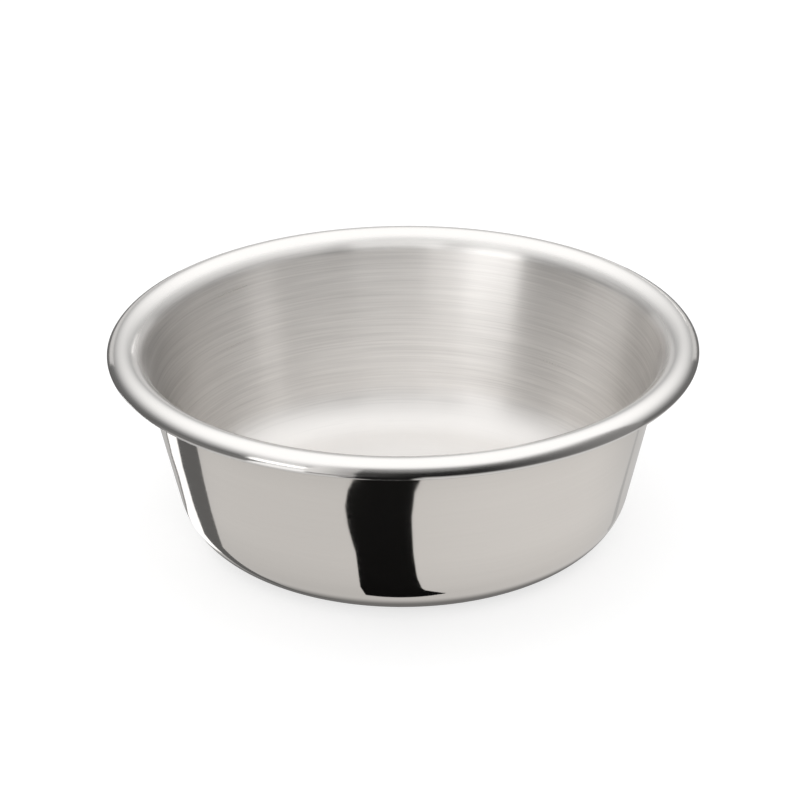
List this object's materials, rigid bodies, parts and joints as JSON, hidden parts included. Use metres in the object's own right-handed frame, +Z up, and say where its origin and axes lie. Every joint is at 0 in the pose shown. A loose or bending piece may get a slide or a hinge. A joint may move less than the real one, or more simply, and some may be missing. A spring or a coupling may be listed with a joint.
{
  "type": "shaving bowl",
  "caption": "Shallow round steel bowl with a flared wall, a flat base and a rolled rim, for soaking a brush and working up shaving lather.",
  "frame": {"origin": "centre of the flat base, on the surface that the bowl stands on", "axes": "+Z up along the bowl's axis of symmetry; +X and +Y are alike, because the bowl is round"},
  "size_m": [0.12, 0.12, 0.042],
  "materials": {
    "steel": "stainless steel: mirror-polished outside, satin rim, satin with circular brush lines inside"
  },
  "bodies": {
    "root": {"bowl": "steel"}
  },
  "joints": []
}
